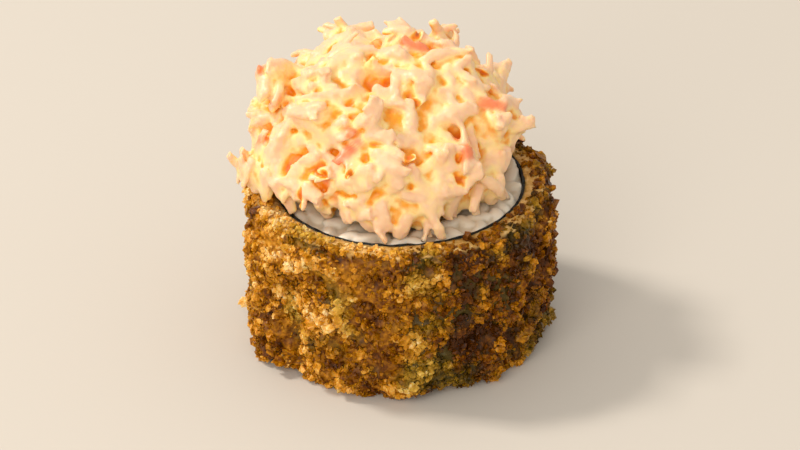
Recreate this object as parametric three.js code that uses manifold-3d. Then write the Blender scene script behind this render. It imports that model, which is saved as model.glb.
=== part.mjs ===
// One cut piece of a tempura sushi roll, standing on its cut end. A crumbed, deep-fried batter coating
// goes round a sheet of nori, the nori goes round the rice, and a heap of shredded crab stick in
// a creamy dressing lies on top.
//
// Millimetres, +Z up. The origin is the middle of the flat cut end that the piece stands on.
// -Y is the side that faces the eye, and +X is to its right.

import * as THREE from "three";
import { mergeVertices } from "three/addons/utils/BufferGeometryUtils.js";
import Module from "manifold-3d";

const wasm = await Module();
wasm.setup();

// ---------------------------------------------------------------- driving dimensions

const ROLL_HEIGHT = 27; // between the two cuts
const ROLL_RADIUS = 23.3; // to the batter between the crumbs, at its widest
const COATING_WALL = 3.3; // batter and crumbs together
const NORI_SHEET = 0.5; // steamed and folded on itself
const NORI_STANDING = 0.1; // how far it stands out of the upper cut
const CLEARANCE = 0.3; // between one layer and the next
const FOOT_TAPER = 0.9; // the coating draws in this far towards its foot
const LOWER_EDGE = new THREE.Vector2(1.5, 2.4); // inwards and upwards size of its rounding
const UPPER_EDGE = new THREE.Vector2(0.7, 1.6);
const LOBES = [
  { share: 0.013, round: 2, start: -0.6 }, // how the roll is out of round, as shares of its radius
  { share: 0.009, round: 3, start: 1.2 },
];
const SWELLS = [
  { standing: 0.3, round: 4, lean: 0.21, start: 0 }, // long swells that lean as they go up the coating
  { standing: 0.2, round: 7, lean: -0.34, start: 2 },
];
const FOLD_ANGLE = THREE.MathUtils.degToRad(207); // a fold of batter runs down the left side here
const FOLD_REACH = THREE.MathUtils.degToRad(16);
const FOLD_STANDING = 1.3;
const FURROW_ANGLE = THREE.MathUtils.degToRad(227); // with a furrow next to it
const FURROW_REACH = THREE.MathUtils.degToRad(10);
const FURROW_LEAN = 0.006; // radians for each millimetre up
const FURROW_DEPTH = 1.9;

const GRAIN_LENGTH = 6.2; // cooked short-grain rice
const GRAIN_WIDTH = 2.7;
const GRAIN_THICKNESS = 2.3;
const GRAIN_SHOWING = 0.65; // how far a grain stands out of the cut
const GRAIN_SPACING = 3.3;

const CRUMB_COUNT = 320; // coarse crumbs on the outside of the coating
const CRUMB_RADIUS = [1.2, 2.4];
const CRUMB_STANDING = [0.5, 1.3]; // how far a crumb stands out of the batter
const CRUMB_SPREAD = [0.754878, 0.56984]; // steps round and up, as shares, that never fall into step
const CRUMB_STEEPNESS = 1.7; // how soon a crumb's side reaches its flat top

const MOUND_CENTRE = new THREE.Vector2(-2.9, 3.0); // the heap sits left of the middle and to the back
const MOUND_FOOT = 14.8; // radius that rests on the rice
const MOUND_RADIUS = 17.4; // radius between the clots where it bulges over its foot
const MOUND_BULGE = 3.2; // height of the widest place above the rice
const MOUND_HEIGHT = 20.8; // between the clots, above the rice
const MOUND_STRETCH = new THREE.Vector2(1.07, 0.95); // it is wider than it is deep
const MOUND_ROUGHNESS = 1.2; // how far its corners are pushed in and out, in all

const CLOT_COUNT = 17; // the heap is piled from clots of shreds, with hollows between them
const CLOT_RADIUS = [4.6, 7.6];
const CLOT_STANDING = [1.0, 2.9];

const SHRED_COUNT = 76;
const SHRED_LENGTH = [6, 12];
const SHRED_WIDTH = [2.2, 4.0];
const SHRED_THICKNESS = [1.6, 2.8];
const SHRED_TILT = [0.05, 0.4]; // radians that a lying shred's end lifts off the heap
const STANDING_EVERY = 9; // every ninth shred stands out of the heap
const STANDING_TILT = [0.5, 0.85];
const HANGING_BELOW = 0.2; // below this share of the rise most shreds hang

const ROLL_SEGMENTS = 96; // faces round the coating
const WALL_ROWS = 15; // faces up the coating
const LAYER_SEGMENTS = 56; // faces round the nori and the rice
const MOUND_SEGMENTS = 28;
const MOUND_ROWS = 8;
const FLATNESS = 0.03; // corners that stand out less than this are taken out after a join

// ---------------------------------------------------------------- worked out from them

const COATING_INSIDE = ROLL_RADIUS - COATING_WALL;
const NORI_OUTSIDE = COATING_INSIDE - CLEARANCE;
const NORI_INSIDE = NORI_OUTSIDE - NORI_SHEET;
const RICE_RADIUS = NORI_INSIDE - CLEARANCE;
const MOUND_BASE = ROLL_HEIGHT + CLEARANCE;
const OVERHANG_BASE = ROLL_HEIGHT + GRAIN_SHOWING + CLEARANCE; // the lowest a free shred hangs
const FULL_TURN = 2 * Math.PI;
const GOLDEN_ANGLE = Math.PI * (3 - Math.sqrt(5));

// ---------------------------------------------------------------- helpers

// A repeatable draw from 0 to 1 (mulberry32).
function seededDraw(seed) {
  let state = seed;
  return () => {
    state = (state + 0x6d2b79f5) | 0;
    let mixed = Math.imul(state ^ (state >>> 15), 1 | state);
    mixed = (mixed + Math.imul(mixed ^ (mixed >>> 7), 61 | mixed)) ^ mixed;
    return ((mixed ^ (mixed >>> 14)) >>> 0) / 4294967296;
  };
}

const between = (draw, [low, high]) => low + (high - low) * draw();

// The signed turn from one angle to another, from -PI to PI.
const turnBetween = (from, to) => Math.atan2(Math.sin(to - from), Math.cos(to - from));

// A smooth bump of height 1 at 0 and nothing beyond 1.
const bump = (distance) => (distance < 1 ? (1 - distance * distance) ** 1.4 : 0);

// A closed geometry as a solid that can be joined and cut.
function toSolid(geometry) {
  const bare = geometry.clone();
  bare.deleteAttribute("normal");
  bare.deleteAttribute("uv");
  const merged = mergeVertices(bare, 1e-3);
  return new wasm.Manifold(
    new wasm.Mesh({
      numProp: 3,
      vertProperties: new Float32Array(merged.attributes.position.array),
      triVerts: new Uint32Array(merged.index.array),
    }),
  );
}

// The outer skin of a solid's largest piece, as a geometry: sealed hollows are filled, scraps dropped.
function toGeometry(solid) {
  const pieces = solid.simplify(FLATNESS).decompose().sort((a, b) => b.volume() - a.volume());
  const mesh = pieces[0].getMesh();
  return new THREE.BufferGeometry()
    .setAttribute("position", new THREE.BufferAttribute(mesh.vertProperties, 3))
    .setIndex(new THREE.BufferAttribute(mesh.triVerts, 1));
}

// Moves every point of a geometry by a rule that takes and returns cylinder coordinates.
function reshape(geometry, rule) {
  const position = geometry.attributes.position;
  for (let i = 0; i < position.count; i++) {
    const x = position.getX(i);
    const y = position.getY(i);
    const moved = rule(Math.hypot(x, y), Math.atan2(y, x), position.getZ(i));
    const toX = moved.radius * Math.cos(moved.angle);
    const toY = moved.radius * Math.sin(moved.angle);
    position.setXYZ(i, toX, toY, moved.z);
  }
  return geometry;
}

// The number of the column of corners at an angle, on something that is turned about Z.
function columnAt(angle, segments) {
  return Math.round(((angle + FULL_TURN) / FULL_TURN) * segments) % segments;
}

// A ring or disc turned about Z from [radius, height] pairs.
function turned(profile, segments) {
  const points = profile.map(([radius, height]) => new THREE.Vector2(radius, height));
  return new THREE.LatheGeometry(points, segments).rotateX(Math.PI / 2);
}

// ---------------------------------------------------------------- the roll's outline

// The roll is squeezed a little out of round, as it was when it was pressed and cut.
function outOfRound(angle) {
  return LOBES.reduce((sum, lobe) => sum + lobe.share * Math.cos(lobe.round * angle + lobe.start), 1);
}

// A layer of the roll: a geometry whose every radius follows the outline.
function followOutline(geometry) {
  return reshape(geometry, (radius, angle, z) => ({ radius: radius * outOfRound(angle), angle, z }));
}

// ---------------------------------------------------------------- coating

// The coating's own shape: narrower towards its foot, with a rounded lower edge and a softer upper one.
function coatingRadius(height) {
  const toFoot = 1 - height / ROLL_HEIGHT;
  const belowEdge = Math.max(0, 1 - height / LOWER_EDGE.y);
  const aboveEdge = Math.max(0, 1 - (ROLL_HEIGHT - height) / UPPER_EDGE.y);
  const rounding = LOWER_EDGE.x * belowEdge ** 2 + UPPER_EDGE.x * aboveEdge ** 2;
  return ROLL_RADIUS - FOOT_TAPER * toFoot ** 1.5 - rounding;
}

// Coarse crumbs, spread evenly over the wall.
function coarseCrumbs() {
  const draw = seededDraw(20);
  return Array.from({ length: CRUMB_COUNT }, (_, i) => ({
    angle: FULL_TURN * ((i * CRUMB_SPREAD[0]) % 1),
    height: ROLL_HEIGHT * ((i * CRUMB_SPREAD[1]) % 1),
    radius: between(draw, CRUMB_RADIUS),
    standing: between(draw, CRUMB_STANDING),
  }));
}

const crumbs = coarseCrumbs();

// How far the coating stands out at a place on the wall: long swells, the fold and its furrow,
// and flat-topped crumbs with steep sides.
function coatingRelief(angle, height) {
  let relief = 0;
  for (const { standing, round, lean, start } of SWELLS) {
    relief += standing * Math.sin(round * angle + lean * height + start);
  }
  relief += FOLD_STANDING * bump(Math.abs(turnBetween(FOLD_ANGLE, angle)) / FOLD_REACH);
  const furrowAngle = FURROW_ANGLE - FURROW_LEAN * height;
  relief -= FURROW_DEPTH * bump(Math.abs(turnBetween(furrowAngle, angle)) / FURROW_REACH);
  let crag = 0;
  for (const crumb of crumbs) {
    const away = Math.hypot(turnBetween(crumb.angle, angle) * ROLL_RADIUS, crumb.height - height);
    crag = Math.max(crag, crumb.standing * Math.min(1, CRUMB_STEEPNESS * (1 - away / crumb.radius)));
  }
  return relief + crag;
}

// The wall of batter and crumbs. Its faces are shifted about so that no two crags are alike, and its
// upper rim is uneven.
function coating() {
  const rowHeight = ROLL_HEIGHT / WALL_ROWS;
  const profile = [[COATING_INSIDE, 0]];
  for (let row = 0; row <= WALL_ROWS; row++) {
    const height = row * rowHeight;
    profile.push([coatingRadius(height), height]);
  }
  const rimMiddle = COATING_INSIDE + 0.5 * COATING_WALL;
  profile.push([rimMiddle, ROLL_HEIGHT + 0.1], [COATING_INSIDE, ROLL_HEIGHT], [COATING_INSIDE, 0]);

  const draw = seededDraw(7);
  const shiftCount = (WALL_ROWS + 3) * ROLL_SEGMENTS;
  const shifts = Array.from({ length: shiftCount }, () => [draw() - 0.5, draw() - 0.5, draw()]);
  return reshape(turned(profile, ROLL_SEGMENTS), (radius, angle, z) => {
    if (radius < COATING_INSIDE + 0.01) return { radius: radius * outOfRound(angle), angle, z };
    const onRim = radius < rimMiddle + 0.01;
    const row = Math.round(z / rowHeight) + (onRim ? 1 : 0);
    const [aside, upward, outward] = shifts[row * ROLL_SEGMENTS + columnAt(angle, ROLL_SEGMENTS)];
    if (onRim) return { radius: radius * outOfRound(angle), angle, z: z + 0.35 * outward };
    const atEdge = z < 0.01 || z > ROLL_HEIGHT - 0.01;
    const turnedTo = angle + (0.6 * aside * FULL_TURN) / ROLL_SEGMENTS;
    const height = atEdge ? z : z + 0.6 * upward * rowHeight;
    const standing = coatingRelief(turnedTo, height) * (atEdge ? 0.6 : 1) + 0.3 * outward;
    return {
      radius: radius * outOfRound(turnedTo) + standing,
      angle: turnedTo,
      z: z > ROLL_HEIGHT - 0.01 ? z + 0.3 * (outward - 0.5) : height,
    };
  });
}

// ---------------------------------------------------------------- nori

// The sheet stops just short of the plate, as it shrinks when the roll is fried, and stands a little
// out of the upper cut.
function nori() {
  const foot = CLEARANCE;
  const top = ROLL_HEIGHT + NORI_STANDING;
  return followOutline(
    turned(
      [
        [NORI_INSIDE, foot],
        [NORI_OUTSIDE, foot],
        [NORI_OUTSIDE, top],
        [NORI_INSIDE, top],
        [NORI_INSIDE, foot],
      ],
      LAYER_SEGMENTS,
    ),
  );
}

// ---------------------------------------------------------------- rice

// A solid that follows the outline, from one height to another.
function layerDisc(radius, from, to) {
  const profile = [
    [0, from],
    [radius, from],
    [radius, to],
    [0, to],
  ];
  return toSolid(followOutline(turned(profile, LAYER_SEGMENTS)));
}

// One cooked grain, lying along X.
function grain() {
  return new THREE.SphereGeometry(0.5, 6, 4)
    .rotateZ(Math.PI / 2)
    .scale(GRAIN_LENGTH, GRAIN_WIDTH, GRAIN_THICKNESS);
}

// Grains lie on the upper cut where the heap leaves it bare, packed by the golden angle.
function riceGrains() {
  const draw = seededDraw(31);
  const grains = [];
  const count = Math.floor((RICE_RADIUS / GRAIN_SPACING) ** 2 * Math.PI);
  for (let i = 0; i < count; i++) {
    const radius = RICE_RADIUS * Math.sqrt((i + 0.5) / count);
    const angle = i * GOLDEN_ANGLE;
    const place = new THREE.Vector2(radius * Math.cos(angle), radius * Math.sin(angle));
    const turn = draw() * FULL_TURN;
    const tilt = 0.3 * (draw() - 0.5);
    const showing = GRAIN_SHOWING * (0.55 + 0.45 * draw());
    if (footShare(place) < 0.97) continue;
    const placed = grain()
      .rotateY(tilt)
      .rotateZ(turn)
      .translate(place.x, place.y, ROLL_HEIGHT + showing - GRAIN_THICKNESS / 2);
    grains.push(toSolid(placed));
  }
  return wasm.Manifold.union(grains);
}

function rice() {
  const block = layerDisc(RICE_RADIUS, 0, ROLL_HEIGHT);
  const room = layerDisc(RICE_RADIUS, ROLL_HEIGHT - GRAIN_THICKNESS, ROLL_HEIGHT + GRAIN_SHOWING);
  const trimmed = riceGrains().intersect(room).subtract(moundFootprint());
  return toGeometry(block.add(trimmed));
}

// ---------------------------------------------------------------- crab heap

// How far out a place on the rice is, where 1 is the edge of the heap's foot.
function footShare(place) {
  const x = (place.x - MOUND_CENTRE.x) / MOUND_STRETCH.x;
  const y = (place.y - MOUND_CENTRE.y) / MOUND_STRETCH.y;
  return Math.hypot(x, y) / MOUND_FOOT;
}

const stretchMound = (geometry) =>
  geometry.scale(MOUND_STRETCH.x, MOUND_STRETCH.y, 1).translate(MOUND_CENTRE.x, MOUND_CENTRE.y, 0);

// The space over the rice that the heap's foot takes, with its clearance.
function moundFootprint() {
  const radius = MOUND_FOOT + CLEARANCE;
  const profile = [
    [0, ROLL_HEIGHT],
    [radius, ROLL_HEIGHT],
    [radius, ROLL_HEIGHT + MOUND_BULGE],
    [0, ROLL_HEIGHT + MOUND_BULGE],
  ];
  return toSolid(stretchMound(turned(profile, LAYER_SEGMENTS)));
}

// The direction from the middle of the heap to a place on it: rise goes from 0 at the widest place
// to 1 at the top.
function moundDirection(rise, angle) {
  const climb = (rise * Math.PI) / 2;
  const level = Math.cos(climb);
  return new THREE.Vector3(level * Math.cos(angle), level * Math.sin(angle), Math.sin(climb));
}

// Where the clots lie, by the golden angle, from the widest place to the top.
function clotPlaces() {
  const draw = seededDraw(17);
  return Array.from({ length: CLOT_COUNT }, (_, i) => {
    const rise = (2 / Math.PI) * Math.asin((i + 0.5) / CLOT_COUNT);
    return {
      direction: moundDirection(rise, i * GOLDEN_ANGLE + draw()),
      radius: between(draw, CLOT_RADIUS),
      standing: between(draw, CLOT_STANDING),
    };
  });
}

const clots = clotPlaces();

// The heap's own surface before it is stretched: a dome that the clots push out.
function moundPoint(rise, angle) {
  const direction = moundDirection(rise, angle);
  let push = 0;
  for (const clot of clots) {
    const away = clot.direction.angleTo(direction) * MOUND_RADIUS;
    push = Math.max(push, clot.standing * bump(away / clot.radius));
  }
  const domeHeight = MOUND_HEIGHT - MOUND_BULGE;
  return new THREE.Vector3(
    direction.x * (MOUND_RADIUS + push),
    direction.y * (MOUND_RADIUS + push),
    ROLL_HEIGHT + MOUND_BULGE + direction.z * (domeHeight + push),
  );
}

// The heap below its outermost shreds: a lumpy dome whose corners are pushed in and out. Its profile
// first holds row numbers in place of heights: two rows for the flat foot, then the rows up the dome.
function moundCore() {
  const draw = seededDraw(13);
  const corners = MOUND_SEGMENTS * MOUND_ROWS;
  const pushes = Array.from({ length: corners }, () => MOUND_ROUGHNESS * (draw() - 0.5));
  const profile = [
    [0, -2],
    [MOUND_FOOT, -1],
  ];
  for (let row = 0; row < MOUND_ROWS; row++) profile.push([MOUND_RADIUS, row]);
  profile.push([0, MOUND_ROWS]);
  const shaped = reshape(turned(profile, MOUND_SEGMENTS), (radius, angle, rowNumber) => {
    const row = Math.round(rowNumber);
    if (row < 0) return { radius, angle, z: MOUND_BASE };
    const rise = row / MOUND_ROWS;
    const point = moundPoint(rise, angle);
    if (row === MOUND_ROWS) return { radius: 0, angle, z: point.z };
    const push = pushes[row * MOUND_SEGMENTS + columnAt(angle, MOUND_SEGMENTS)];
    const climb = (rise * Math.PI) / 2;
    return {
      radius: Math.hypot(point.x, point.y) + push * Math.cos(climb),
      angle,
      z: point.z + push * Math.sin(climb),
    };
  });
  return toSolid(stretchMound(shaped));
}

// A torn shred of crab stick along X: six-sided and blunt, uneven along its length, bent and twisted.
function shred({ length, width, thickness, bend, twist, torn, swell }) {
  const geometry = new THREE.CylinderGeometry(0.5, 0.5, 1, 6, 3).rotateZ(-Math.PI / 2);
  const position = geometry.attributes.position;
  for (let i = 0; i < position.count; i++) {
    const along = position.getX(i);
    const end = (2 * Math.abs(along)) ** 4;
    const slim = (1 - end * (along > 0 ? torn : 0.15)) * (1 + swell * Math.sin(9 * along));
    const across = position.getY(i) * width * slim;
    const up = position.getZ(i) * thickness * (1 - 0.3 * end);
    const turn = twist * along;
    position.setXYZ(
      i,
      along * length,
      across * Math.cos(turn) - up * Math.sin(turn) + bend * along * along * length,
      across * Math.sin(turn) + up * Math.cos(turn) - 0.35 * along * along * length,
    );
  }
  return geometry;
}

// Where and how each shred lies: over the whole heap by the golden angle, hanging at the foot,
// any way round higher up, and now and then standing out.
function shredPlaces() {
  const draw = seededDraw(5);
  const places = [];
  for (let i = 0; i < SHRED_COUNT; i++) {
    const share = (i + 0.5) / SHRED_COUNT;
    const rise = (2 / Math.PI) * Math.asin(share ** 1.15);
    const hangs = rise < HANGING_BELOW;
    const stands = i % STANDING_EVERY === 4;
    const way = draw() < 0.5 ? 1 : -1;
    places.push({
      rise,
      angle: i * GOLDEN_ANGLE,
      heading: hangs ? -Math.PI / 2 + 1.1 * (draw() - 0.5) : draw() * FULL_TURN,
      tilt: between(draw, stands ? STANDING_TILT : SHRED_TILT),
      roll: way * 0.5 * draw(),
      length: between(draw, SHRED_LENGTH) * (hangs || stands ? 0.8 : 1),
      width: between(draw, SHRED_WIDTH) * (stands ? 0.8 : 1),
      thickness: between(draw, SHRED_THICKNESS),
      bend: 0.5 * (draw() - 0.5),
      twist: 1.2 * (draw() - 0.5),
      torn: 0.15 + 0.5 * draw(),
      swell: 0.3 * (draw() - 0.5),
    });
  }
  return places;
}

// One shred set on the heap: X runs along its heading, Z along the heap's normal.
function placedShred(place) {
  const step = 0.01;
  const here = moundPoint(place.rise, place.angle);
  const aside = moundPoint(place.rise, place.angle + step).sub(here).normalize();
  const upward = moundPoint(Math.min(1, place.rise + step), place.angle).sub(here).normalize();
  const outward = new THREE.Vector3().crossVectors(aside, upward).normalize();
  const along = aside
    .clone()
    .multiplyScalar(Math.cos(place.heading))
    .addScaledVector(upward, Math.sin(place.heading))
    .multiplyScalar(Math.cos(place.tilt))
    .addScaledVector(outward, Math.sin(place.tilt))
    .normalize();
  const across = new THREE.Vector3().crossVectors(outward, along).normalize();
  const facing = new THREE.Vector3().crossVectors(along, across);
  const turn = new THREE.Matrix4().makeBasis(along, across, facing);
  const centre = here.clone().addScaledVector(outward, 0.25 * place.length * Math.sin(place.tilt));
  return stretchMound(
    shred(place)
      .rotateX(place.roll)
      .applyMatrix4(turn)
      .translate(centre.x, centre.y, centre.z),
  );
}

// Everything below the lowest place where a free shred may hang.
function roomBelowOverhang() {
  const side = 4 * ROLL_RADIUS;
  return toSolid(new THREE.BoxGeometry(side, side, side).translate(0, 0, OVERHANG_BASE - side / 2));
}

function crabHeap() {
  const shreds = wasm.Manifold.union(shredPlaces().map((place) => toSolid(placedShred(place))));
  return toGeometry(moundCore().add(shreds.subtract(roomBelowOverhang())));
}

// ---------------------------------------------------------------- materials and assembly

const finishes = {
  coating: new THREE.MeshStandardMaterial({ color: 0xb5792b, roughness: 0.8, metalness: 0 }),
  nori: new THREE.MeshStandardMaterial({ color: 0x1b2119, roughness: 0.5, metalness: 0 }),
  rice: new THREE.MeshStandardMaterial({ color: 0xe6ddd0, roughness: 0.4, metalness: 0 }),
  crab: new THREE.MeshStandardMaterial({ color: 0xf5cf9b, roughness: 0.35, metalness: 0 }),
};

function piece(name, geometry, material) {
  const mesh = new THREE.Mesh(geometry, material);
  mesh.name = name;
  return mesh;
}

const roll = new THREE.Group();
roll.add(
  piece("crumb_coating", coating(), finishes.coating),
  piece("nori_sheet", nori(), finishes.nori),
  piece("rice", rice(), finishes.rice),
  piece("crab_topping", crabHeap(), finishes.crab),
);

export default roll;
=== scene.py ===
# %% [markdown]
# # One piece of a tempura sushi roll
#
# A thick roll of rice and nori is dipped in batter, rolled in coarse breadcrumbs, fried and cut.
# One piece stands on its cut end here, with a heap of shredded crab in a creamy dressing on top.
# The solids of the piece are loaded first. Every part below is built on them or in their place,
# so it has their size, and nothing has to be fitted afterwards.

# %% Load the solids
import math

import bpy
import numpy as np
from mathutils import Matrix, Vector, bvhtree, noise


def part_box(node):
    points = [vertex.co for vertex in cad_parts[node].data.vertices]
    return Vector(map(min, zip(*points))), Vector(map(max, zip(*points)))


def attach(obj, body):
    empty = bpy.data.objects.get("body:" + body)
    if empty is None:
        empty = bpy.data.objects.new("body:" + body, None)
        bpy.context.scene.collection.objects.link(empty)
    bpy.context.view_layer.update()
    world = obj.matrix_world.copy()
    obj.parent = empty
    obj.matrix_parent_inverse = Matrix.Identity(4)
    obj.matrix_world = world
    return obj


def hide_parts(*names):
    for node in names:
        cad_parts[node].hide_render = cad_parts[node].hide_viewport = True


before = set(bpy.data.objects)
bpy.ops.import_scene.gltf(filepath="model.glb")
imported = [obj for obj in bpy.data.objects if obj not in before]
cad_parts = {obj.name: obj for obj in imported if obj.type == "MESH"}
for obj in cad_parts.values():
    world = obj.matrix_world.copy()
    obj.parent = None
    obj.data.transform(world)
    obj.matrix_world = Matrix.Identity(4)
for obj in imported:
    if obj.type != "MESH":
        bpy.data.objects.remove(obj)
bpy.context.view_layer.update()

MM = 0.001

# %% [markdown]
# ## Camera, light and floor
#
# The camera comes first, so that every later look at the model is the same look. The piece is seen
# from about 32 degrees above the table. A long lens from far away keeps the upper rim as flat an
# oval as it is in a photograph of a whole plate of such pieces.

# %% Camera
CAMERA_HEIGHT_ANGLE = math.radians(32)
CAMERA_DISTANCE = 0.8
FOCAL_LENGTH = 225
LOOKED_AT = Vector((0, 0.5 * MM, 18.5 * MM))


def aim(thing, target):
    """Turns a camera or lamp so that it looks at a point."""
    thing.rotation_euler = (target - thing.location).to_track_quat("-Z", "Y").to_euler()


backwards = Vector((0, -math.cos(CAMERA_HEIGHT_ANGLE), math.sin(CAMERA_HEIGHT_ANGLE)))
bpy.ops.object.camera_add(location=LOOKED_AT + CAMERA_DISTANCE * backwards)
camera = bpy.context.object
camera.data.lens = FOCAL_LENGTH
aim(camera, LOOKED_AT)
bpy.context.scene.camera = camera

# %% [markdown]
# The light in such a photograph comes from high up on the left: the left flank and the tops of the
# shreds shine, and the right flank is dark. It is a small, crisp light, so every crumb has a shadow of
# its own. A pale table and pale walls fill the shadows from all round. A square lamp stands for the
# light, a dim large one for the nearest wall, and the world's colour for the rest of the room.

# %% Light
LIT_POINT = Vector((0, 0, 20 * MM))
ROOM_STRENGTH = 0.74


def add_lamp(name, place, size, power, colour):
    bpy.ops.object.light_add(type="AREA", location=place)
    lamp = bpy.context.object
    lamp.name = name
    lamp.data.size = size
    lamp.data.energy = power
    lamp.data.color = colour
    aim(lamp, LIT_POINT)


def linear(code):
    """The linear colour, with alpha, that Blender wants for an sRGB hex code such as "#F3E2C0"."""
    shares = [int(code[i : i + 2], 16) / 255 for i in (1, 3, 5)]
    return [s / 12.92 if s <= 0.04045 else ((s + 0.055) / 1.055) ** 2.4 for s in shares] + [1.0]


add_lamp("studio_light", place=(-0.64, 0.16, 0.87), size=0.17, power=6.9, colour=linear("#FFFAF4")[:3])
add_lamp("pale_wall", place=(-0.35, -0.95, 0.70), size=0.8, power=7.0, colour=linear("#FFFCF8")[:3])

world = bpy.context.scene.world or bpy.data.worlds.new("room")
bpy.context.scene.world = world
world.use_nodes = True
background = world.node_tree.nodes["Background"]
background.inputs["Color"].default_value = linear("#FFFCF8")
background.inputs["Strength"].default_value = ROOM_STRENGTH
bpy.context.scene.view_settings.view_transform = "Standard"

# %% [markdown]
# ## How the finishes are made
#
# A finish is a small tree of nodes. One function adds a node, sets it and links it, so that each
# material below reads like a recipe. Patterns are given in real millimetres: a noise has its scale in
# lumps per metre, so lumps of 2 mm are a scale of 500.


# %% One helper for all nodes
def add_node(tree, kind, inputs=None, stops=None, **settings):
    """Adds a node. inputs holds values or sockets by name or number, and stops a ramp's colours."""
    node = tree.nodes.new(kind)
    for name, value in settings.items():
        setattr(node, name, value)
    for name, value in (inputs or {}).items():
        if isinstance(value, bpy.types.NodeSocket):
            tree.links.new(value, node.inputs[name])
        else:
            node.inputs[name].default_value = value
    for number, (place, colour) in enumerate(stops or []):
        ramp = node.color_ramp.elements
        stop = ramp[number] if number < len(ramp) else ramp.new(place)
        stop.position = place
        stop.color = colour
    return node


def per_metre(millimetres):
    """The scale of a noise whose lumps are this wide."""
    return 1 / (millimetres * MM)


def start_material(name):
    """An empty material with its output, and the place on the piece in metres."""
    material = bpy.data.materials.new(name)
    material.use_nodes = True
    tree = material.node_tree
    tree.nodes.clear()
    where = add_node(tree, "ShaderNodeTexCoord").outputs["Object"]
    return material, tree, where


def end_material(tree, shader):
    add_node(tree, "ShaderNodeOutputMaterial", {"Surface": shader.outputs["BSDF"]})


# %% The table
bpy.ops.mesh.primitive_plane_add(size=8)
table = bpy.context.object
table.name = "table"
plaster, tree, where = start_material("matt_lime_plaster")
shader = add_node(tree, "ShaderNodeBsdfPrincipled", {
    "Base Color": linear("#C9C0B3"), "Roughness": 0.8, "Specular IOR Level": 0.2})
end_material(tree, shader)
table.data.materials.append(plaster)

# %% [markdown]
# ## Tools for many small things
#
# The crust has thousands of crumbs, and the heap hundreds of shreds. Each kind is modelled a few times,
# with Blender's own operators. The copies are then worked out as arrays: places are drawn at random on the
# surface that carries them, with a seed, so that every run is the same.


# %% Selecting and finishing by code
def start_afresh():
    if bpy.context.object and bpy.context.object.mode != "OBJECT":
        bpy.ops.object.mode_set(mode="OBJECT")
    bpy.ops.object.select_all(action="DESELECT")


def pick_only(piece):
    start_afresh()
    piece.select_set(True)
    bpy.context.view_layer.objects.active = piece


def apply_modifier(piece, kind, **settings):
    """Adds a modifier, sets it and makes its result the mesh."""
    pick_only(piece)
    modifier = piece.modifiers.new(kind.lower(), kind)
    for name, value in settings.items():
        setattr(modifier, name, value)
    bpy.ops.object.modifier_apply(modifier=modifier.name)


def copy_of_node(node, name):
    """A new piece with a solid's own shape, its loose triangles merged into one skin."""
    piece = bpy.data.objects.new(name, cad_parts[node].data.copy())
    bpy.context.scene.collection.objects.link(piece)
    piece.data.materials.clear()
    pick_only(piece)
    bpy.ops.object.mode_set(mode="EDIT")
    bpy.ops.mesh.select_all(action="SELECT")
    bpy.ops.mesh.remove_doubles(threshold=0.002 * MM)
    bpy.ops.object.mode_set(mode="OBJECT")
    return piece


# %% Meshes as arrays
def points_of(piece):
    points = np.empty(len(piece.data.vertices) * 3, np.float32)
    piece.data.vertices.foreach_get("co", points)
    return points.reshape(-1, 3).astype(float)


def move_points(piece, points):
    piece.data.vertices.foreach_set("co", np.asarray(points, np.float32).ravel())
    piece.data.update()


def normals_of(piece):
    normals = np.empty(len(piece.data.vertices) * 3, np.float32)
    piece.data.vertex_normals.foreach_get("vector", normals)
    return normals.reshape(-1, 3).astype(float)


def corners_of(piece):
    """The point numbers of a piece's triangles."""
    piece.data.calc_loop_triangles()
    corners = np.empty(len(piece.data.loop_triangles) * 3, np.int32)
    piece.data.loop_triangles.foreach_get("vertices", corners)
    return corners.reshape(-1, 3)


def set_attribute(piece, name, values):
    """Keeps one number for every point of a piece, which a material can read by its name."""
    attribute = piece.data.attributes.new(name, "FLOAT", "POINT")
    attribute.data.foreach_set("value", np.asarray(values, np.float32))


def as_unit(vectors):
    return vectors / np.maximum(np.linalg.norm(vectors, axis=1, keepdims=True), 1e-12)


def smooth_step(values, start, end):
    share = np.clip((values - start) / (end - start), 0, 1)
    return share * share * (3 - 2 * share)


def lumpy(points, millimetres, offset=0.0):
    """Smooth noise from about -1 to 1, with lumps of that size."""
    scaled = points * per_metre(millimetres) + offset
    return np.array([noise.noise(Vector(point)) for point in scaled]) * 1.6


# %% Scattering copies
def spots_on(carrier, count, draws, weigh):
    """Random places on a piece's faces, more where weigh(middles, normals) is high."""
    points, corners = points_of(carrier), corners_of(carrier)
    a, b, c = points[corners[:, 0]], points[corners[:, 1]], points[corners[:, 2]]
    crossed = np.cross(b - a, c - a)
    face_normals = as_unit(crossed)
    chance = np.linalg.norm(crossed, axis=1) * weigh((a + b + c) / 3, face_normals)
    reach = np.cumsum(chance)
    faces = np.searchsorted(reach, draws.random(count) * reach[-1])
    u, v = draws.random(count), draws.random(count)
    over = u + v > 1
    u[over], v[over] = 1 - u[over], 1 - v[over]
    places = a[faces] + u[:, None] * (b - a)[faces] + v[:, None] * (c - a)[faces]
    return places, face_normals[faces]


def lying_axes(normals, headings, tilts):
    """Local axes for things lying on a surface: X runs along them, Z stands out of the surface.
    A heading of 0 is level and a quarter turn is uphill; a tilt lifts the X end off the surface."""
    level = as_unit(np.cross([0.02, 0.01, 1.0], normals))
    uphill = np.cross(normals, level)
    along = np.cos(headings)[:, None] * level + np.sin(headings)[:, None] * uphill
    along = np.cos(tilts)[:, None] * along + np.sin(tilts)[:, None] * normals
    across = as_unit(np.cross(normals, along))
    return np.stack([along, across, np.cross(along, across)], axis=1)


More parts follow.
